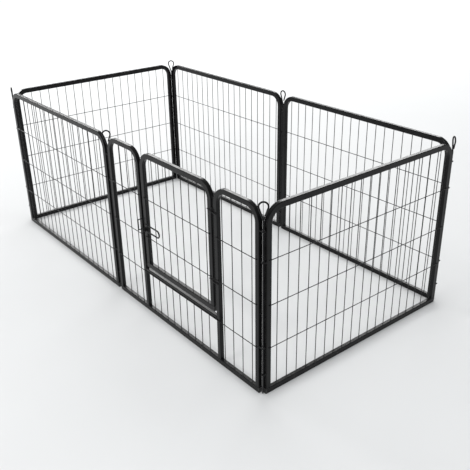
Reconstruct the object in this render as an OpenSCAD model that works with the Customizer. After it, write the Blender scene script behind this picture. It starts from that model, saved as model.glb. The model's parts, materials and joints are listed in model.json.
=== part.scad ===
// Folding pet playpen: six wire-mesh panels in a two-by-one rectangle, pinned at the corners,
// with a hinged gate and a sliding wire bolt in one panel.
// Millimetres, +Z up. The origin is on the floor at the centre of the pen's plan.
// X runs along the long walls and the gate wall faces -Y.

/* [Panels] */
// Height of every panel
panel_h = 600; // [500:10:800]
// Width of one panel over its frame
panel_w = 800; // [760:10:900]
// Corner pin's axis to the frame beside it
pin_gap = 7; // [7:0.5:9]
// Width of the frame tube, seen from the front
tube_w = 18; // [14:1:20]
// Depth of every frame tube, front to back
tube_t = 14; // [14:1:16]
// Outside radius of the two top bends
bend_r = 55; // [45:5:80]

/* [Mesh] */
// Diameter of the mesh wires
wire_d = 2.5; // [2:0.25:3]
// Spacing of the upright wires
wire_pitch = 40; // [30:1:50]
// Heights of the three cross wires
cross_z = [160, 301, 442];

/* [Gate panel] */
// Width of one side frame beside the gate
side_w = 196; // [180:1:200]
// Width of the slimmer tube in the side frames
slim_w = 16; // [14:1:18]
// Outside radius of a side frame's bends
side_bend_r = 52; // [40:2:56]
// Spacing of the side frames' upright wires
side_pitch = 43; // [40:1:45]
// Right side frame's uprights, off-centre toward the corner pin
side_shift = 4; // [0:1:4]
// Extra set-back of the side frames from the corner pins
side_set = 4; // [3:1:6]
// Underside of the sill
sill_z = 159; // [155:1:166]
// Height of the sill's tube
sill_w = 12; // [10:1:14]

/* [Gate] */
// Gap between the gate and the post on each side
gate_gap = 11; // [11:1:14]
// Underside of the gate
gate_z = 182; // [182:1:190]
// Outside radius of the gate's top bends
gate_bend_r = 52; // [40:2:56]
// Heights of the two gate hinges
hinge_z = [293, 520];

/* [Bolt] */
// Diameter of the bolt wire
bolt_d = 5; // [4:0.5:5]
// Height of the bolt's lower, sliding rod
bolt_z = 325; // [320:1:330]
// Lower rod to upper rod
bolt_rise = 24; // [20:1:28]

/* [Corner pins] */
// Diameter of the corner pins
pin_d = 5; // [4:0.5:5]
// Outside width of a pin's loop handle
loop_w = 31; // [28:1:36]
// Height of each pin's loop centre
loop_z = 600; // [592:1:606]

/* [Hidden] */
$fn = 48;
weld_gap = 0.02;        // welded pieces stand this far apart, and the weld fills it
tube_wall = 1.2;
corner_r = 2;           // outside corner radius of every tube
plug_cap = 3;           // cap of a rail end plug, flush with the tube
plug_len = 14;
fit = 0.09;             // radial running clearance at every pin and rod
eye_d = 3.5;            // wire of the corner hinge eyes and the bolt's staples
eye_z_near = [70, 437]; // eyes at a panel's first pin
eye_z_far = [163, 530]; // eyes at its second pin
side_wires = 4;
pintle_d = 4;
ring_d = 3;             // wire of the gate's hinge rings
arm_d = 2.6;            // wire of the arms welded to those rings
ring_drop = 4;          // ring's mid-height above the pintle's foot
pintle_rise = 9;
keeper_z = [318, 355];
keeper_proud = 11.25;   // tube face to the keeper wire's axis
bolt_tip = 8;           // gate's edge to the withdrawn bolt's tip
bolt_len = 94;          // tip to the axis of the end bend
upper_len = 69;         // end bend back to the upper rod's tip
pin_foot = 4;           // floor to the pins' tips
loop_drop = 40;         // loop centre down to the kink in the shaft
free_drop = 26;         // loop centre down to the loop's free end
knuckle_d = pin_d + 0.02; // balls that join the loop's strands to its arc

wire_r = wire_d / 2;
face_y = -tube_t / 2;                          // outer face of every frame
upright_y = face_y + wire_r + weld_gap;        // mesh uprights, just inside that face
cross_y = face_y - wire_r - weld_gap;          // cross wires, on that face
pitch = panel_w + 2 * pin_gap;                 // pin to pin along one wall panel
half_w = pitch / 2;
frame_x = [pin_gap, pitch - pin_gap];
set_x = [pin_gap + side_set, pitch - pin_gap - side_set];
post_x = [set_x[0] + side_w, set_x[1] - side_w]; // gate-side faces of the two posts
left_x = [set_x[0], post_x[0]];                  // left and right side frames
right_x = [post_x[1], set_x[1]];
gate_x = [post_x[0] + gate_gap, post_x[1] - gate_gap];
leg_mid = tube_w / 2;
eye_r = pin_d / 2 + fit + eye_d / 2;           // wire axis of an eye about its pin
ring_r = pintle_d / 2 + fit + ring_d / 2;
pintle_x = (gate_x[1] + post_x[1]) / 2;
pintle_y = face_y - pintle_d / 2 - weld_gap;
arm_y = face_y - arm_d / 2 - weld_gap;
guide_r = bolt_d / 2 + fit + eye_d / 2;
bolt_y = face_y - 4.6;
bolt_x = gate_x[0] - bolt_tip;
loop_r = (loop_w - pin_d) / 2;
tangent_a = asin(loop_r / loop_drop);          // lean of the loop's two strands

// Pins in order round the pen, counter-clockwise from above: position, then the panel's heading.
PINS = [
    [-pitch, -half_w, 0],
    [0, -half_w, 0],
    [pitch, -half_w, 90],
    [pitch, half_w, 180],
    [0, half_w, 180],
    [-pitch, half_w, 270]
];

// ---------- shared pieces ----------

// Moves a panel, drawn along +X from its first pin with its outer face toward -Y, into the ring.
module placed(i) {
    translate([PINS[i][0], PINS[i][1], 0])
        rotate([0, 0, PINS[i][2]])
            children();
}

// Rectangle with rounded corners.
module rounded(w, h, r) {
    square([w, h - 2 * r], center = true);
    square([w - 2 * r, h], center = true);
    for (x = [-1, 1], y = [-1, 1])
        translate([x * (w / 2 - r), y * (h / 2 - r)])
            circle(r = r);
}

// Section of a hollow frame tube.
module tube(w, h) {
    difference() {
        rounded(w, h, corner_r);
        rounded(w - 2 * tube_wall, h - 2 * tube_wall, corner_r - tube_wall);
    }
}

// Lays a section flat so that its extrusion runs along +X and its second axis is up.
module along_x(x, z) {
    translate([x, 0, z])
        rotate([90, 0, 90])
            children();
}

// Level tube between two x values with its underside at z.
module level_tube(x, z, w) {
    along_x(x[0], z + w / 2)
        linear_extrude(x[1] - x[0])
            tube(tube_t, w);
}

// Quarter bend of a frame tube. Side 1 joins a right leg to the top, and side -1 a left leg.
module top_bend(side, w, r) {
    rotate([90, 0, 0])
        rotate([0, 0, side > 0 ? 0 : 90])
            rotate_extrude(angle = 90)
                translate([r - w / 2, 0])
                    tube(w, tube_t);
}

// Inverted-U frame bent from one tube, from z up to the panel's top.
module arch(x, z, w, r) {
    for (leg = [x[0] + w / 2, x[1] - w / 2])
        translate([leg, 0, z])
            linear_extrude(panel_h - r - z)
                tube(w, tube_t);
    translate([x[0] + r, 0, panel_h - r])
        top_bend(-1, w, r);
    translate([x[1] - r, 0, panel_h - r])
        top_bend(1, w, r);
    level_tube([x[0] + r, x[1] - r], panel_h - w, w);
}

// Underside of an arch above an upright wire at wx.
function arch_under(wx, x, w, r) =
    let (into = max(x[0] + r - wx, wx - x[1] + r) + wire_r)
    panel_h - r + (into > 0 ? sqrt(pow(r - w, 2) - into * into) : r - w);

// Number of uprights, centred, that fit a clear width.
function upright_n(clear) = 2 * floor((clear / 2 - 5) / wire_pitch) + 1;

// Upright mesh wire.
module upright(x, z0, z1) {
    translate([x, upright_y, z0])
        cylinder(d = wire_d, h = z1 - z0);
}

// Row of uprights under an arch, centred on mid.
module uprights_under(mid, n, step, z0, x, w, r) {
    for (i = [0 : n - 1]) {
        wx = mid + (i - (n - 1) / 2) * step;
        upright(wx, z0 + weld_gap, arch_under(wx, x, w, r) - weld_gap);
    }
}

// Level mesh wire on the frame's outer face.
module cross_wire(x, z) {
    translate([x[0], cross_y, z])
        rotate([0, 90, 0])
            cylinder(d = wire_d, h = x[1] - x[0]);
}

// Cap of a rail plug, with its outer edges rounded in plan as well as in section.
module plug_cap_body() {
    intersection() {
        along_x(0, tube_w / 2)
            linear_extrude(plug_cap - weld_gap)
                rounded(tube_t, tube_w, corner_r);
        translate([plug_cap, 0, -1])
            linear_extrude(tube_w + 2)
                rounded(2 * plug_cap, tube_t, corner_r);
    }
}

// Plastic plug in each end of a rail.
module end_plugs(x, z) {
    in_w = tube_t - 2 * tube_wall - 2 * weld_gap;
    in_h = tube_w - 2 * tube_wall - 2 * weld_gap;
    for (side = [0, 1])
        translate([x[side], 0, z])
            mirror([side, 0, 0]) {
                plug_cap_body();
                along_x(1, tube_w / 2)
                    linear_extrude(plug_len - 1)
                        rounded(in_w, in_h, corner_r - tube_wall - weld_gap);
            }
}

// Bottom rail between two x values, shortened by the caps of its plugs.
module rail(x, z) {
    level_tube([x[0] + plug_cap, x[1] - plug_cap], z, tube_w);
}

// U of wire round a rod of wire-axis radius r. Its arms run toward +X for the given reach.
module staple(r, reach, d) {
    rotate([0, 0, 90])
        rotate_extrude(angle = 180)
            translate([r, 0])
                circle(d = d);
    for (y = [-r, r])
        translate([0, y, 0])
            rotate([0, 90, 0])
                cylinder(d = d, h = reach);
}

// Hinge eyes at both ends of a panel, welded to the end faces of its legs.
module hinge_eyes(reach) {
    for (z = eye_z_near)
        translate([0, 0, z])
            staple(eye_r, reach - weld_gap, eye_d);
    for (z = eye_z_far)
        translate([pitch, 0, z])
            mirror([1, 0, 0])
                staple(eye_r, reach - weld_gap, eye_d);
}

// ---------- plain panel ----------

module panel_frame() {
    color("dimgray")
        arch(frame_x, tube_w + weld_gap, tube_w, bend_r);
}

module panel_rail() {
    color("gray")
        rail(frame_x, 0);
}

module panel_plugs() {
    color("black")
        end_plugs(frame_x, 0);
}

module panel_uprights() {
    n = upright_n(panel_w - 2 * tube_w);
    color("slategray")
        uprights_under(half_w, n, wire_pitch, tube_w, frame_x, tube_w, bend_r);
}

module panel_cross_wires() {
    color("lightslategray")
        for (z = cross_z)
            cross_wire([frame_x[0] + leg_mid, frame_x[1] - leg_mid], z);
}

module panel_eyes() {
    color("silver")
        hinge_eyes(pin_gap);
}

// ---------- door panel ----------

module side_frame(x) {
    color("dimgray")
        arch(x, tube_w + weld_gap, slim_w, side_bend_r);
}

module sill() {
    color("gray")
        level_tube([post_x[0] + weld_gap, post_x[1] - weld_gap], sill_z, sill_w);
}

module door_rail() {
    color("gray")
        rail(set_x, 0);
}

module door_plugs() {
    color("black")
        end_plugs(set_x, 0);
}

module side_uprights(x, shift) {
    mid = (x[0] + x[1]) / 2 + shift;
    color("slategray")
        uprights_under(mid, side_wires, side_pitch, tube_w, x, slim_w, side_bend_r);
}

module sill_uprights() {
    n = upright_n(post_x[1] - post_x[0]);
    color("slategray")
        for (i = [0 : n - 1])
            upright(half_w + (i - (n - 1) / 2) * wire_pitch, tube_w + weld_gap, sill_z - weld_gap);
}

module long_cross_wire() {
    color("lightslategray")
        cross_wire([set_x[0] + slim_w / 2, set_x[1] - slim_w / 2], cross_z[0]);
}

module side_cross_wires(x) {
    color("lightslategray")
        for (z = [cross_z[1], cross_z[2]])
            cross_wire([x[0] + slim_w / 2, x[1] - slim_w / 2], z);
}

module door_eyes() {
    color("silver")
        hinge_eyes(pin_gap + side_set);
}

// Upturned hinge pins the gate hangs on, with a foot along the right post's face.
module gate_pintles() {
    color("silver")
        for (z = hinge_z)
            translate([pintle_x, pintle_y, z - ring_drop]) {
                sphere(d = pintle_d);
                cylinder(d = pintle_d, h = ring_drop + pintle_rise);
                rotate([0, 90, 0])
                    cylinder(d = pintle_d, h = post_x[1] - pintle_x + slim_w - 2);
            }
}

// Tall staple on the left post that takes the bolt's tip.
module bolt_keeper() {
    mid_x = post_x[0] - slim_w / 2;
    out_y = face_y - keeper_proud;
    rise = keeper_z[1] - keeper_z[0];
    color("silver") {
        for (z = keeper_z)
            translate([mid_x, out_y, z]) {
                sphere(d = eye_d);
                rotate([-90, 0, 0])
                    cylinder(d = eye_d, h = keeper_proud - weld_gap);
            }
        translate([mid_x, out_y, keeper_z[0]])
            cylinder(d = eye_d, h = rise);
    }
}

// ---------- gate ----------

module gate_frame() {
    color("dimgray")
        arch(gate_x, gate_z + tube_w + weld_gap, tube_w, gate_bend_r);
}

module gate_rail() {
    color("gray")
        rail(gate_x, gate_z);
}

module gate_plugs() {
    color("black")
        end_plugs(gate_x, gate_z);
}

module gate_uprights() {
    n = upright_n(gate_x[1] - gate_x[0] - 2 * tube_w);
    color("slategray")
        uprights_under(half_w, n, wire_pitch, gate_z + tube_w, gate_x, tube_w, gate_bend_r);
}

module gate_cross_wires() {
    color("lightslategray")
        for (z = [cross_z[1], cross_z[2]])
            cross_wire([gate_x[0] + leg_mid, gate_x[1] - leg_mid], z);
}

// Closed rings that drop over the pintles, each with an arm along the gate's stile.
module gate_hinge_rings() {
    arm_end = pintle_x - sqrt(pow(ring_r, 2) - pow(arm_y - pintle_y, 2));
    arm_start = gate_x[1] - tube_w + 1;
    color("silver")
        for (z = hinge_z) {
            translate([pintle_x, pintle_y, z])
                rotate_extrude()
                    translate([ring_r, 0])
                        circle(d = ring_d);
            translate([arm_start, arm_y, z])
                rotate([0, 90, 0])
                    cylinder(d = arm_d, h = arm_end - arm_start);
        }
}

// Two staples on the gate's left stile that the bolt slides through.
module bolt_guides() {
    color("silver")
        for (x = [gate_x[0] + tube_w / 4, gate_x[0] + 3 * tube_w / 4])
            translate([x, bolt_y, bolt_z])
                rotate([0, 0, 90])
                    rotate([90, 0, 0])
                        staple(guide_r, face_y - bolt_y, eye_d);
}

// Hairpin bolt: the lower rod slides, the bend is the finger pull, the upper rod returns.
module latch_bolt() {
    color("darkgray")
        translate([bolt_x, bolt_y, bolt_z]) {
            rotate([0, 90, 0])
                cylinder(d = bolt_d, h = bolt_len);
            translate([bolt_len, 0, bolt_rise / 2])
                rotate([90, 0, 0])
                    rotate([0, 0, -90])
                        rotate_extrude(angle = 180)
                            translate([bolt_rise / 2, 0])
                                circle(d = bolt_d);
            translate([bolt_len - upper_len, 0, bolt_rise])
                rotate([0, 90, 0])
                    cylinder(d = bolt_d, h = upper_len);
        }
}

// ---------- corner pins ----------

// Long pin with a teardrop loop on top. The turn sets which way the loop faces.
module corner_pin(i, turn) {
    kink_z = loop_z - loop_drop;
    strand = sqrt(loop_drop * loop_drop - loop_r * loop_r);
    free_len = strand - (loop_drop - free_drop) / cos(tangent_a);
    color("darkgray")
        translate([PINS[i][0], PINS[i][1], 0])
            rotate([0, 0, turn]) {
                translate([0, 0, pin_foot])
                    cylinder(d = pin_d, h = kink_z - pin_foot);
                translate([0, 0, kink_z]) {
                    sphere(d = pin_d);
                    rotate([0, -tangent_a, 0])
                        cylinder(d = pin_d, h = strand);
                }
                translate([0, 0, loop_z])
                    rotate([90, 0, 0])
                        rotate([0, 0, -tangent_a])
                            rotate_extrude(angle = 180 + 2 * tangent_a)
                                translate([loop_r, 0])
                                    circle(d = pin_d);
                for (side = [-1, 1])
                    translate([side * loop_r * cos(tangent_a), 0, loop_z - loop_r * sin(tangent_a)])
                        sphere(d = knuckle_d);
                translate([loop_r * cos(tangent_a), 0, loop_z - loop_r * sin(tangent_a)])
                    rotate([0, 180 + tangent_a, 0])
                        cylinder(d = pin_d, h = free_len);
            }
}

// ---------- the pen ----------

placed(0) panel_frame();  // front_left_frame
placed(0) panel_rail();  // front_left_bottom_rail
placed(0) panel_plugs();  // front_left_rail_plugs
placed(0) panel_uprights();  // front_left_upright_wires
placed(0) panel_cross_wires();  // front_left_cross_wires
placed(0) panel_eyes();  // front_left_hinge_eyes

placed(1) side_frame(left_x);  // door_panel_left_frame
placed(1) side_frame(right_x);  // door_panel_right_frame
placed(1) sill();  // door_panel_sill
placed(1) door_rail();  // door_panel_bottom_rail
placed(1) door_plugs();  // door_panel_rail_plugs
placed(1) side_uprights(left_x, 0);  // door_panel_left_uprights
placed(1) side_uprights(right_x, side_shift);  // door_panel_right_uprights
placed(1) sill_uprights();  // door_panel_sill_uprights
placed(1) long_cross_wire();  // door_panel_long_cross_wire
placed(1) side_cross_wires(left_x);  // door_panel_left_cross_wires
placed(1) side_cross_wires(right_x);  // door_panel_right_cross_wires
placed(1) door_eyes();  // door_panel_hinge_eyes
placed(1) gate_pintles();
placed(1) bolt_keeper();

placed(1) gate_frame();
placed(1) gate_rail();  // gate_bottom_rail
placed(1) gate_plugs();  // gate_rail_plugs
placed(1) gate_uprights();  // gate_upright_wires
placed(1) gate_cross_wires();
placed(1) gate_hinge_rings();
placed(1) bolt_guides();
placed(1) latch_bolt();

placed(2) panel_frame();  // right_frame
placed(2) panel_rail();  // right_bottom_rail
placed(2) panel_plugs();  // right_rail_plugs
placed(2) panel_uprights();  // right_upright_wires
placed(2) panel_cross_wires();  // right_cross_wires
placed(2) panel_eyes();  // right_hinge_eyes

placed(3) panel_frame();  // rear_right_frame
placed(3) panel_rail();  // rear_right_bottom_rail
placed(3) panel_plugs();  // rear_right_rail_plugs
placed(3) panel_uprights();  // rear_right_upright_wires
placed(3) panel_cross_wires();  // rear_right_cross_wires
placed(3) panel_eyes();  // rear_right_hinge_eyes

placed(4) panel_frame();  // rear_left_frame
placed(4) panel_rail();  // rear_left_bottom_rail
placed(4) panel_plugs();  // rear_left_rail_plugs
placed(4) panel_uprights();  // rear_left_upright_wires
placed(4) panel_cross_wires();  // rear_left_cross_wires
placed(4) panel_eyes();  // rear_left_hinge_eyes

placed(5) panel_frame();  // left_frame
placed(5) panel_rail();  // left_bottom_rail
placed(5) panel_plugs();  // left_rail_plugs
placed(5) panel_uprights();  // left_upright_wires
placed(5) panel_cross_wires();  // left_cross_wires
placed(5) panel_eyes();  // left_hinge_eyes

corner_pin(0, -15);  // pin_front_left
corner_pin(1, 62);  // pin_front_middle
corner_pin(2, 49);  // pin_front_right
corner_pin(3, -39);  // pin_rear_right
corner_pin(4, 2);  // pin_rear_middle
corner_pin(5, 56);  // pin_rear_left
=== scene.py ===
import json
import math
import random

import bmesh
import bpy
from mathutils import Matrix, Vector, noise


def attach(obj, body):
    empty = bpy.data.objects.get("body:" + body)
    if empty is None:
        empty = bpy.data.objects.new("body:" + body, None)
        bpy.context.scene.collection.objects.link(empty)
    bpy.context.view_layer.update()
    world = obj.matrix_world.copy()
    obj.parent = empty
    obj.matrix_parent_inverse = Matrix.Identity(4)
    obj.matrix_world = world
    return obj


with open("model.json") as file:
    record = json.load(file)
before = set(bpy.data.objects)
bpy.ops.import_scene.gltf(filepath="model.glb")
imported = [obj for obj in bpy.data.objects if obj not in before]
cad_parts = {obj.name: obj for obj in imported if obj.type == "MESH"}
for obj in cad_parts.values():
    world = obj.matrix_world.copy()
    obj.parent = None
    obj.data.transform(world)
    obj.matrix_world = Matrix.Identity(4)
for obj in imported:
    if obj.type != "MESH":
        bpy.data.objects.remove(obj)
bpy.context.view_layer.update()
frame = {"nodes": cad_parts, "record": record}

random.seed(7)

# ---------- driving sizes, in metres, the same as the CAD's ----------

PANEL_H = 0.600
PANEL_W = 0.800
PIN_GAP = 0.007  # a pin's axis to the frame beside it
TUBE_W = 0.018
TUBE_T = 0.014
BEND_R = 0.055
WIRE_R = 0.00125
UPRIGHT_PITCH = 0.040
PANEL_UPRIGHTS = 19
CROSS_Z = (0.160, 0.301, 0.442)

# The two narrow frames beside the gate.
SIDE_SET = 0.004  # how much further they stand from the pins beside them
SIDE_W = 0.196
SLIM_W = 0.016
SIDE_BEND_R = 0.052
SIDE_PITCH = 0.043
SIDE_SHIFT = 0.004  # right frame's uprights, off-centre toward the corner pin
SIDE_UPRIGHTS = 4
SILL_Z = 0.159
SILL_W = 0.012

GATE_GAP = 0.011
GATE_Z = 0.182
GATE_BEND_R = 0.052
GATE_UPRIGHTS = 9
HINGE_Z = (0.293, 0.520)
PINTLE_DROP = 0.004  # from a hinge ring's mid-height down to its pintle's foot
BOLT_Z = 0.325
GUIDE_R = 0.00434  # a bolt guide's bend, to the middle of its wire
KEEPER_Z = (0.318, 0.355)

EYE_Z_NEAR = (0.070, 0.437)  # at a panel's first pin
EYE_Z_FAR = (0.163, 0.530)  # at its second pin
EYE_WIRE_R = 0.00175
EYE_R = 0.00434  # an eye's bend, to the middle of its wire

PITCH = PANEL_W + 2 * PIN_GAP
HALF_W = PITCH / 2
FACE_Y = -TUBE_T / 2
UPRIGHT_Y = FACE_Y + WIRE_R
FRAME_X = (PIN_GAP, PITCH - PIN_GAP)
SET_X = (PIN_GAP + SIDE_SET, PITCH - PIN_GAP - SIDE_SET)
POST_X = (SET_X[0] + SIDE_W, SET_X[1] - SIDE_W)
GATE_X = (POST_X[0] + GATE_GAP, POST_X[1] - GATE_GAP)

# Each panel's first pin, x and y, and its heading in degrees.
PANELS = {
    "front_left": (-PITCH, -HALF_W, 0),
    "door": (0, -HALF_W, 0),
    "right": (PITCH, -HALF_W, 90),
    "rear_right": (PITCH, HALF_W, 180),
    "rear_left": (0, HALF_W, 180),
    "left": (-PITCH, HALF_W, 270),
}


def panel_matrix(name):
    """Panel space: +X from its first pin to its second, -Y outward, +Z up."""
    x, y, heading = PANELS[name]
    return Matrix.Translation((x, y, 0)) @ Matrix.Rotation(math.radians(heading), 4, "Z")


# ---------- materials ----------

COAT_IOR = 1.5
COAT_SPECULAR = 0.2
FINE_PEEL = 0.4  # strength of the finest bumps beside the orange peel

DUST_COLOUR = (0.32, 0.31, 0.29)
DUST_ROUGHNESS = 0.6
DUST_MOST = 0.16
DUST_FOCUS = 3.0  # how sharply dust keeps to faces that look up
DUST_DULLING = 2.0  # how much sooner dust changes the sheen than the colour

SCUFF_COLOUR = (0.055, 0.053, 0.05)
SCUFF_ROUGHNESS = 0.62
SCUFF_MOST = 0.55
SCUFF_FADE = 22.0  # share lost per metre above the floor

WORN_COLOUR = (0.11, 0.11, 0.114)
WORN_ROUGHNESS = 0.3
WORN_FADE = 120.0  # share lost per metre above or below the rubbed height

# Sockets of the Mix node, for numbers and for colours.
MIX_FACTOR = 0
MIX_A = 2
MIX_B = 3
MIX_COLOUR_A = 6
MIX_COLOUR_B = 7
MIX_COLOUR_OUT = 2


def node(tree, kind, **inputs):
    """Adds a shader node and sets its inputs by name."""
    n = tree.nodes.new(kind)
    for key, value in inputs.items():
        n.inputs[key.replace("_", " ")].default_value = value
    return n


def noise_tex(tree, coords, scale, detail, rough=0.55):
    """Noise from 0 to 1, with about scale lumps to the metre."""
    n = node(tree, "ShaderNodeTexNoise", Scale=scale, Detail=detail, Roughness=rough)
    tree.links.new(coords, n.inputs["Vector"])
    return n.outputs["Fac"]


def ramp(tree, value, low, high, low_at=0.0, high_at=1.0):
    """Maps a value to a colour between two stops."""
    n = tree.nodes.new("ShaderNodeValToRGB")
    n.color_ramp.elements[0].position = low_at
    n.color_ramp.elements[1].position = high_at
    n.color_ramp.elements[0].color = (*low, 1)
    n.color_ramp.elements[1].color = (*high, 1)
    tree.links.new(value, n.inputs["Fac"])
    return n.outputs["Color"]


def mask(tree, value, none_at, full_at):
    """Black below one value and white above the other."""
    return ramp(tree, value, (0, 0, 0), (1, 1, 1), none_at, full_at)


def math_node(tree, op, a, b=None, clamp=False):
    """One sum in the shader; each side is a number or another node's output."""
    n = tree.nodes.new("ShaderNodeMath")
    n.operation = op
    n.use_clamp = clamp
    for socket, value in zip(n.inputs, (a, b)):
        if value is None:
            continue
        if isinstance(value, (int, float)):
            socket.default_value = value
        else:
            tree.links.new(value, socket)
    return n.outputs[0]


def fade(tree, distance, per_metre):
    """1 at no distance, and down to 0 at the given rate."""
    lost = math_node(tree, "MULTIPLY", distance, per_metre)
    return math_node(tree, "SUBTRACT", 1.0, lost, clamp=True)


def mix_color(tree, fac, a, b):
    """Blends from a to b; b is a plain colour or grey."""
    n = tree.nodes.new("ShaderNodeMix")
    n.data_type = "RGBA"
    tree.links.new(fac, n.inputs[MIX_FACTOR])
    tree.links.new(a, n.inputs[MIX_COLOUR_A])
    n.inputs[MIX_COLOUR_B].default_value = (*b, 1)
    return n.outputs[MIX_COLOUR_OUT]


def grey(level):
    """A grey as a colour."""
    return (level, level, level)


def bump(tree, height, strength, distance, after=None):
    """Raises the surface by a height, on top of an earlier bump if there is one."""
    n = node(tree, "ShaderNodeBump", Strength=strength, Distance=distance)
    tree.links.new(height, n.inputs["Height"])
    if after is not None:
        tree.links.new(after, n.inputs["Normal"])
    return n.outputs["Normal"]


def split_axes(tree, vector):
    """A node whose outputs are the vector's X, Y and Z."""
    axes = tree.nodes.new("ShaderNodeSeparateXYZ")
    tree.links.new(vector, axes.inputs[0])
    return axes


def start_material(name):
    """A new material, with its node tree, its shader and its object coordinates."""
    m = bpy.data.materials.new(name)
    m.use_nodes = True
    t = m.node_tree
    bsdf = t.nodes["Principled BSDF"]
    coords = t.nodes.new("ShaderNodeTexCoord").outputs["Object"]
    return m, t, bsdf, coords


def powder_coat(name, dark, light, gloss, peel, dust=0.35, rubbed_at=()):
    """Gloss black powder coat: orange peel, uneven sheen, dust on top faces, scuffs near the floor.
    Where another piece slides on it, at the given heights, it is streaked with duller grey."""
    m, t, bsdf, coords = start_material(name)
    blotch = noise_tex(t, coords, scale=22, detail=5)
    fine = noise_tex(t, coords, scale=420, detail=3)
    base = ramp(t, blotch, (dark, dark, dark * 1.08), (light, light, light * 1.06), 0.3, 0.72)
    sheen = noise_tex(t, coords, scale=60, detail=6)
    rough = ramp(t, sheen, grey(gloss[0]), grey(gloss[1]), 0.3, 0.75)

    normal = split_axes(t, t.nodes.new("ShaderNodeNewGeometry").outputs["Normal"])
    upward = math_node(t, "POWER", math_node(t, "MAXIMUM", normal.outputs["Z"], 0.0), DUST_FOCUS)
    specks = noise_tex(t, coords, scale=140, detail=6, rough=0.7)
    dusty = math_node(t, "MULTIPLY", upward, math_node(t, "MULTIPLY", specks, DUST_MOST * dust))
    base = mix_color(t, dusty, base, DUST_COLOUR)
    dulled = math_node(t, "MULTIPLY", dusty, DUST_DULLING, clamp=True)
    rough = mix_color(t, dulled, rough, grey(DUST_ROUGHNESS))

    place = split_axes(t, coords)
    low = fade(t, place.outputs["Z"], SCUFF_FADE)
    patch = mask(t, noise_tex(t, coords, scale=75, detail=8, rough=0.75), 0.56, 0.66)
    scuff = math_node(t, "MULTIPLY", math_node(t, "MULTIPLY", low, patch), SCUFF_MOST)
    base = mix_color(t, scuff, base, SCUFF_COLOUR)
    rough = mix_color(t, scuff, rough, grey(SCUFF_ROUGHNESS))

    for z in rubbed_at:
        away = math_node(t, "ABSOLUTE", math_node(t, "SUBTRACT", place.outputs["Z"], z))
        band = fade(t, away, WORN_FADE)
        streaks = noise_tex(t, coords, scale=230, detail=8, rough=0.75)
        worn = math_node(t, "MULTIPLY", band, mask(t, streaks, 0.5, 0.72))
        base = mix_color(t, worn, base, WORN_COLOUR)
        rough = mix_color(t, worn, rough, grey(WORN_ROUGHNESS))

    t.links.new(base, bsdf.inputs["Base Color"])
    t.links.new(rough, bsdf.inputs["Roughness"])
    bsdf.inputs["IOR"].default_value = COAT_IOR
    bsdf.inputs["Specular IOR Level"].default_value = COAT_SPECULAR
    orange_peel = bump(t, fine, peel, distance=0.0006)
    grain = noise_tex(t, coords, scale=2600, detail=2)
    surface = bump(t, grain, peel * FINE_PEEL, distance=0.0002, after=orange_peel)
    t.links.new(surface, bsdf.inputs["Normal"])
    return m


def matt_plastic(name):
    """Black moulded plastic with a fine grain and slightly paler patches."""
    m, t, bsdf, coords = start_material(name)
    patches = noise_tex(t, coords, scale=90, detail=6)
    base = ramp(t, patches, (0.012, 0.012, 0.012), (0.035, 0.035, 0.034), 0.35, 0.7)
    rough = ramp(t, noise_tex(t, coords, scale=240, detail=4), grey(0.45), grey(0.65))
    grain = noise_tex(t, coords, scale=3200, detail=2)
    t.links.new(base, bsdf.inputs["Base Color"])
    t.links.new(rough, bsdf.inputs["Roughness"])
    t.links.new(bump(t, grain, strength=0.2, distance=0.0002), bsdf.inputs["Normal"])
    return m


def pale_floor(name):
    """Plain pale floor, very slightly uneven in shade and surface."""
    m, t, bsdf, coords = start_material(name)
    shade = noise_tex(t, coords, scale=1.3, detail=4)
    base = ramp(t, shade, (0.70, 0.70, 0.695), (0.74, 0.74, 0.735))
    t.links.new(base, bsdf.inputs["Base Color"])
    bsdf.inputs["Roughness"].default_value = 0.85
    grain = noise_tex(t, coords, scale=260, detail=4)
    t.links.new(bump(t, grain, strength=0.05, distance=0.001), bsdf.inputs["Normal"])
    return m


# Each coat's darkest and lightest shade, its roughness range and how strong its orange peel is.
FRAME_COAT = (0.0025, 0.007, (0.14, 0.30), 0.10)
MESH_COAT = (0.004, 0.010, (0.16, 0.32), 0.05)
HINGE_COAT = (0.004, 0.010, (0.16, 0.34), 0.08)
BOLT_COAT = (0.004, 0.011, (0.14, 0.30), 0.06)
PIN_COAT = (0.004, 0.010, (0.14, 0.30), 0.06)
WELD_COAT = (0.004, 0.010, (0.20, 0.38), 0.25)
THIN_DUST = 0.3  # less dust stays on the wires and the welds

MATERIALS = {
    "frame_tube": powder_coat("frame powder coat", *FRAME_COAT),
    "mesh_wire": powder_coat("wire powder coat", *MESH_COAT, dust=THIN_DUST),
    "hinge_wire": powder_coat("hinge powder coat", *HINGE_COAT),
    "latch_rod": powder_coat("bolt powder coat", *BOLT_COAT, rubbed_at=(BOLT_Z,)),
    "pin_rod": powder_coat("pin powder coat", *PIN_COAT, rubbed_at=EYE_Z_NEAR + EYE_Z_FAR),
    "end_plug": matt_plastic("plug plastic"),
    "weld": powder_coat("weld powder coat", *WELD_COAT, dust=THIN_DUST),
}

for part in frame["record"]["subparts"]:
    mesh = frame["nodes"][part["node"]].data
    mesh.materials.clear()
    mesh.materials.append(MATERIALS[part["material_slot"]])

# ---------- welds ----------

X, Y, Z = Vector((1, 0, 0)), Vector((0, 1, 0)), Vector((0, 0, 1))

SEED_RANGE = 50  # each nugget and collar takes its lumps from its own place in the noise

NUGGET_SEGS = 10
NUGGET_RINGS = 6
NUGGET_LUMP = 0.12
NUGGET_LUMP_SCALE = 1.7

COLLAR_SEGS = 14
COLLAR_PROFILE = ((-0.35, 1.0), (0.0, 1.0), (0.12, 0.72), (0.35, 0.36), (0.7, 0.1), (1.0, 0.0))
COLLAR_INNER = 0.96  # starts just inside the wire's surface
COLLAR_LUMP = 0.22
COLLAR_LUMP_SCALE = 1.3

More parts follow.
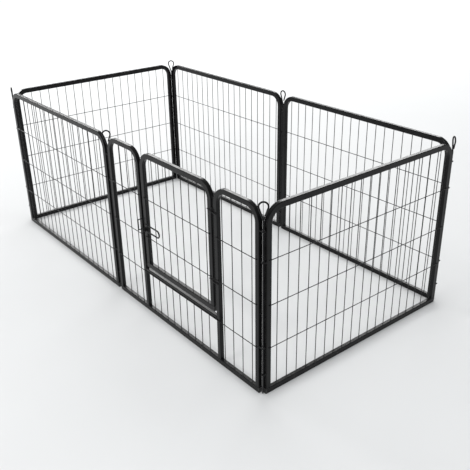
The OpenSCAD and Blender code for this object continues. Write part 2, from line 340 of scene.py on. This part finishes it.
BEAD_SEGS = 72
BEAD_SIDES = 8
BEAD_R = 0.0009
BEAD_RIPPLE = 0.16
BEAD_RIPPLE_TURN = 1.9  # radians of ripple from one ring to the next
BEAD_LUMP = 0.1
BEAD_LUMP_STEP = 0.35
BEAD_LUMP_BY_WIDTH = 90
BEAD_LUMP_SLICE = 3
TUBE_CORNER = 0.002
DRESSED_W = 0.004  # how far the dressed length reaches from a tube's end face
DRESSED_SWELL = 0.18

# Spread on the face, height up the wire, and squash along the panel's depth, where 1 is round.
UPRIGHT_COLLAR = (0.0009, 0.0016, 0.7)
EYE_COLLAR = (0.0010, 0.0018, 0.75)
KEEPER_COLLAR = (0.0010, 0.0018, 1.0)
GUIDE_COLLAR = (0.0009, 0.0016, 1.0)

# Half sizes along X, Y and Z.
CROSSING_NUGGET = (0.0018, 0.0013, 0.0018)
PINTLE_NUGGET = (0.0045, 0.0014, 0.0030)
RING_NUGGET = (0.0060, 0.0011, 0.0024)
CROSS_END_DEPTH = 0.0010
CROSS_END_HEIGHT = 0.0020
CROSS_END_PROUD = 0.0003


class Welds:
    """Collects weld metal for one body in panel space, then makes it one piece."""

    def __init__(self, panel, body):
        self.bm = bmesh.new()
        self.space = panel_matrix(panel)
        self.body = body

    def _verts(self, rings):
        """Puts rings of points into the mesh, in the body's place."""
        return [[self.bm.verts.new(self.space @ p) for p in ring] for ring in rings]

    def _quads(self, rows):
        """Joins each row of vertices to the next."""
        count = len(rows[0])
        for a, b in zip(rows, rows[1:]):
            for i in range(count):
                j = (i + 1) % count
                self.bm.faces.new((a[i], a[j], b[j], b[i]))

    def _skin(self, rings):
        """Makes a closed lump from rings of points, each of equal length."""
        rows = self._verts(rings)
        self._quads(rows)
        self.bm.faces.new(list(reversed(rows[0])))
        self.bm.faces.new(rows[-1])

    def nugget(self, centre, radii):
        """Flattened lump where two wires are spot-welded."""
        centre = Vector(centre)
        shift = Vector((random.random() * SEED_RANGE, 0, 0))
        rings = []
        for r in range(NUGGET_RINGS - 1, 0, -1):
            lat = math.pi * r / NUGGET_RINGS
            ring = []
            for s in range(NUGGET_SEGS):
                lon = 2 * math.pi * s / NUGGET_SEGS
                d = Vector((math.sin(lat) * math.cos(lon), math.sin(lat) * math.sin(lon), math.cos(lat)))
                lump = 1 + NUGGET_LUMP * noise.noise(d * NUGGET_LUMP_SCALE + shift)
                ring.append(centre + Vector(d[k] * radii[k] * lump for k in range(3)))
            rings.append(ring)
        self._skin(rings)

    def collar(self, foot, axis, r, spread, height, squash):
        """Concave fillet of weld round a wire that stands on a face. The axis points away from the face."""
        foot = Vector(foot)
        side = Vector((0, 1, 0)) if abs(axis.y) < 0.5 else Vector((1, 0, 0))
        other = axis.cross(side)
        seed = random.random() * SEED_RANGE
        rings = []
        for level, out in COLLAR_PROFILE:
            ring = []
            for s in range(COLLAR_SEGS):
                a = 2 * math.pi * s / COLLAR_SEGS
                spot = Vector((math.cos(a) * COLLAR_LUMP_SCALE, math.sin(a) * COLLAR_LUMP_SCALE, seed))
                lump = 1 + COLLAR_LUMP * noise.noise(spot)
                reach = r * COLLAR_INNER + spread * out * lump
                flat = side * math.cos(a) * squash + other * math.sin(a)
                ring.append(foot + flat * reach + axis * (height * level))
            rings.append(ring)
        self._skin(rings)

    def bead(self, centre, across, along, w, h, dressed=0):
        """Rippled bead run round a tube's outline, in the plane through its centre. It is dressed
        almost flat on the outline's + end (1) or - end (-1), where the next panel's leg folds past."""
        centre = Vector(centre)
        up = across.cross(along)
        rings = []
        for i, (px, py, nx, ny) in enumerate(rounded_outline(w, h, TUBE_CORNER, BEAD_SEGS)):
            spot = Vector((i * BEAD_LUMP_STEP, w * BEAD_LUMP_BY_WIDTH, BEAD_LUMP_SLICE))
            ripple = BEAD_RIPPLE * math.sin(i * BEAD_RIPPLE_TURN)
            swell = BEAD_R * (1 + ripple + BEAD_LUMP * noise.noise(spot))
            if dressed * px > w / 2 - DRESSED_W:
                swell *= DRESSED_SWELL
            out = across * nx + along * ny
            p = centre + across * px + along * py
            ring = []
            for k in range(BEAD_SIDES):
                a = 2 * math.pi * k / BEAD_SIDES
                ring.append(p + out * (swell * math.cos(a)) + up * (swell * math.sin(a)))
            rings.append(ring)
        rows = self._verts(rings)
        self._quads(rows + rows[:1])

    def done(self, name):
        """Makes the collected metal a smooth piece that rides on its body."""
        bmesh.ops.recalc_face_normals(self.bm, faces=self.bm.faces)
        mesh = bpy.data.meshes.new(name)
        self.bm.to_mesh(mesh)
        self.bm.free()
        for p in mesh.polygons:
            p.use_smooth = True
        mesh.materials.append(MATERIALS["weld"])
        obj = bpy.data.objects.new(name, mesh)
        bpy.context.scene.collection.objects.link(obj)
        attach(obj, self.body)


def rounded_outline(w, h, corner, count):
    """Evenly spaced points with outward normals on a rectangle with round corners."""
    straight_w, straight_h = w - 2 * corner, h - 2 * corner
    arc = math.pi * corner / 2
    lengths = [straight_w, arc, straight_h, arc] * 2
    total = sum(lengths)
    points = []
    for i in range(count):
        s = total * i / count
        leg = 0
        while s > lengths[leg]:
            s -= lengths[leg]
            leg += 1
        quarter = leg // 2
        turn = math.pi / 2 * quarter
        if leg % 2 == 0:
            x = (straight_w if quarter % 2 == 0 else straight_h) / 2 - s
            y = (h if quarter % 2 == 0 else w) / 2
            c, q = math.cos(turn), math.sin(turn)
            points.append((x * c - y * q, x * q + y * c, -q, c))
        else:
            a = turn + math.pi / 2 + s / corner
            cx = (-1 if quarter in (0, 1) else 1) * (w / 2 - corner)
            cy = (1 if quarter in (0, 3) else -1) * (h / 2 - corner)
            points.append((cx + corner * math.cos(a), cy + corner * math.sin(a), math.cos(a), math.sin(a)))
    return points


def arch_under(wx, x, w, r):
    """Height of the underside of an inverted-U frame above an upright at wx."""
    into = max(x[0] + r - wx, wx - x[1] + r)
    return PANEL_H - r + (math.sqrt((r - w) ** 2 - into**2) if into > 0 else r - w)


def centred(mid, count, step):
    """Evenly spaced places either side of a middle."""
    return [mid + (i - (count - 1) / 2) * step for i in range(count)]


def upright_welds(welds, xs, z0, top):
    """Collars at both ends of each upright."""
    for x in xs:
        welds.collar((x, UPRIGHT_Y, z0), Z, WIRE_R, *UPRIGHT_COLLAR)
        welds.collar((x, UPRIGHT_Y, top(x)), -Z, WIRE_R, *UPRIGHT_COLLAR)


def crossing_welds(welds, xs, zs):
    """Nuggets where cross wires pass the uprights."""
    for x in xs:
        for z in zs:
            welds.nugget((x, FACE_Y, z), CROSSING_NUGGET)


def cross_end_welds(welds, x, zs, w):
    """Nuggets where cross wires lie on the frame's face, at both ends."""
    for z in zs:
        for end, way in ((x[0] + w / 2, 1), (x[1] - w / 2, -1)):
            place = (end + way * w / 4, FACE_Y - CROSS_END_PROUD, z)
            welds.nugget(place, (w / 4, CROSS_END_DEPTH, CROSS_END_HEIGHT))


def eye_welds(welds, reach):
    """Collars where the hinge eyes' legs meet the frame, reach away from the pins."""
    for foot_x, axis, heights in ((reach, -X, EYE_Z_NEAR), (PITCH - reach, X, EYE_Z_FAR)):
        for z in heights:
            for y in (-EYE_R, EYE_R):
                welds.collar((foot_x, y, z), axis, EYE_WIRE_R, *EYE_COLLAR)


def leg_beads(welds, x, z, w):
    """Beads at the feet of a frame's two legs, dressed on the sides that face outward."""
    for mid, outer_end in ((x[0] + w / 2, -1), (x[1] - w / 2, 1)):
        welds.bead((mid, 0, z), X, Y, w, TUBE_T, outer_end)


def plain_panel(name):
    """Welds of a panel without a gate."""
    welds = Welds(name, name + "_panel")
    xs = centred(HALF_W, PANEL_UPRIGHTS, UPRIGHT_PITCH)
    upright_welds(welds, xs, TUBE_W, lambda wx: arch_under(wx, FRAME_X, TUBE_W, BEND_R))
    crossing_welds(welds, xs, CROSS_Z)
    cross_end_welds(welds, FRAME_X, CROSS_Z, TUBE_W)
    eye_welds(welds, PIN_GAP)
    leg_beads(welds, FRAME_X, TUBE_W, TUBE_W)
    welds.done("welds_" + name)


def door_panel():
    """Welds of the two side frames, the mesh below the gate, the eyes, the sill, pintles and keeper."""
    welds = Welds("door", "door_panel")
    for x, shift in (((SET_X[0], POST_X[0]), 0), ((POST_X[1], SET_X[1]), SIDE_SHIFT)):
        xs = centred(sum(x) / 2 + shift, SIDE_UPRIGHTS, SIDE_PITCH)
        upright_welds(welds, xs, TUBE_W, lambda wx, x=x: arch_under(wx, x, SLIM_W, SIDE_BEND_R))
        crossing_welds(welds, xs, CROSS_Z)
        cross_end_welds(welds, x, CROSS_Z[1:], SLIM_W)
        leg_beads(welds, x, TUBE_W, SLIM_W)
    xs = centred(HALF_W, GATE_UPRIGHTS, UPRIGHT_PITCH)
    upright_welds(welds, xs, TUBE_W, lambda wx: SILL_Z)
    crossing_welds(welds, xs, CROSS_Z[:1])
    cross_end_welds(welds, SET_X, CROSS_Z[:1], SLIM_W)
    eye_welds(welds, PIN_GAP + SIDE_SET)
    for end in POST_X:
        welds.bead((end, 0, SILL_Z + SILL_W / 2), Y, Z, TUBE_T, SILL_W)
    for z in HINGE_Z:
        welds.nugget((POST_X[1] + SLIM_W / 2, FACE_Y, z - PINTLE_DROP), PINTLE_NUGGET)
    for z in KEEPER_Z:
        welds.collar((POST_X[0] - SLIM_W / 2, FACE_Y, z), -Y, EYE_WIRE_R, *KEEPER_COLLAR)
    welds.done("welds_door_panel")


def gate():
    """Welds of the gate, its hinge rings and its bolt guides."""
    welds = Welds("door", "gate")
    xs = centred(HALF_W, GATE_UPRIGHTS, UPRIGHT_PITCH)
    foot = GATE_Z + TUBE_W
    upright_welds(welds, xs, foot, lambda wx: arch_under(wx, GATE_X, TUBE_W, GATE_BEND_R))
    crossing_welds(welds, xs, CROSS_Z[1:])
    cross_end_welds(welds, GATE_X, CROSS_Z[1:], TUBE_W)
    leg_beads(welds, GATE_X, foot, TUBE_W)
    for z in HINGE_Z:
        welds.nugget((GATE_X[1] - TUBE_W / 2, FACE_Y, z), RING_NUGGET)
    for x in (GATE_X[0] + TUBE_W / 4, GATE_X[0] + 3 * TUBE_W / 4):
        for z in (BOLT_Z - GUIDE_R, BOLT_Z + GUIDE_R):
            welds.collar((x, FACE_Y, z), -Y, EYE_WIRE_R, *GUIDE_COLLAR)
    welds.done("welds_gate")


for panel in PANELS:
    if panel != "door":
        plain_panel(panel)
door_panel()
gate()

# ---------- floor ----------

FLOOR_HALF = 45
corners = [(x * FLOOR_HALF, y * FLOOR_HALF, 0) for x, y in ((-1, -1), (1, -1), (1, 1), (-1, 1))]
floor_mesh = bpy.data.meshes.new("floor")
floor_mesh.from_pydata(corners, [], [(0, 1, 2, 3)])
floor_mesh.materials.append(pale_floor("pale floor"))
floor = bpy.data.objects.new("floor", floor_mesh)
bpy.context.scene.collection.objects.link(floor)

# ---------- light ----------

# The studio is an even glow, much duller where the black coat mirrors it, and in the view itself
# about the same shade as the lit floor.
GLOW_COLOUR = (0.96, 0.98, 1.0)
GLOW_LIGHT = 0.9
GLOW_MIRRORED = 0.2
GLOW_SEEN = 0.68

world = bpy.data.worlds.new("studio")
world.use_nodes = True
glow = world.node_tree
ray = glow.nodes.new("ShaderNodeLightPath")
strength = glow.nodes.new("ShaderNodeMix")
strength.inputs[MIX_A].default_value = GLOW_LIGHT
strength.inputs[MIX_B].default_value = GLOW_MIRRORED
glow.links.new(ray.outputs["Is Glossy Ray"], strength.inputs[MIX_FACTOR])
seen = glow.nodes.new("ShaderNodeMix")
seen.inputs[MIX_B].default_value = GLOW_SEEN
glow.links.new(ray.outputs["Is Camera Ray"], seen.inputs[MIX_FACTOR])
glow.links.new(strength.outputs[0], seen.inputs[MIX_A])
sky = glow.nodes["Background"]
sky.inputs["Color"].default_value = (*GLOW_COLOUR, 1)
glow.links.new(seen.outputs[0], sky.inputs["Strength"])
bpy.context.scene.world = world

CENTRE = Vector((0, 0, 0.4))


def softbox(name, place, size, power):
    """A soft rectangular light turned to the pen's centre. The camera doesn't see it."""
    data = bpy.data.lights.new(name, "AREA")
    data.shape = "RECTANGLE"
    data.size, data.size_y = size
    data.energy = power
    obj = bpy.data.objects.new(name, data)
    obj.location = place
    obj.rotation_euler = (CENTRE - Vector(place)).to_track_quat("-Z", "Y").to_euler()
    obj.visible_camera = False
    bpy.context.scene.collection.objects.link(obj)


softbox("back", place=(-6.6, 5.4, 4.6), size=(9.0, 2.6), power=440)
softbox("left", place=(-8.8, -1.0, 4.2), size=(3.6, 2.0), power=260)
softbox("front", place=(0.6, -4.4, 2.6), size=(1.2, 0.4), power=50)

# ---------- camera ----------

EYE_POINT = Vector((2.004, -1.446, 1.288))
YAW = math.radians(141.56)
PITCH_DOWN = math.radians(25.92)
ROLL = math.radians(-0.98)
FOCAL_MM = 51.7
SENSOR_MM = 36
FARTHEST = 200

forward_x = math.cos(YAW) * math.cos(PITCH_DOWN)
forward_y = math.sin(YAW) * math.cos(PITCH_DOWN)
forward = Vector((forward_x, forward_y, -math.sin(PITCH_DOWN)))
level_right = Vector((math.sin(YAW), -math.cos(YAW), 0))
level_up = level_right.cross(forward)
right = level_right * math.cos(ROLL) + level_up * math.sin(ROLL)
up = level_up * math.cos(ROLL) - level_right * math.sin(ROLL)

lens = bpy.data.cameras.new("camera")
lens.lens = FOCAL_MM
lens.sensor_width = SENSOR_MM
lens.clip_end = FARTHEST
camera = bpy.data.objects.new("camera", lens)
camera.matrix_world = Matrix.Translation(EYE_POINT) @ Matrix((right, up, -forward)).transposed().to_4x4()
bpy.context.scene.collection.objects.link(camera)
bpy.context.scene.camera = camera
bpy.context.scene.view_settings.view_transform = "Standard"
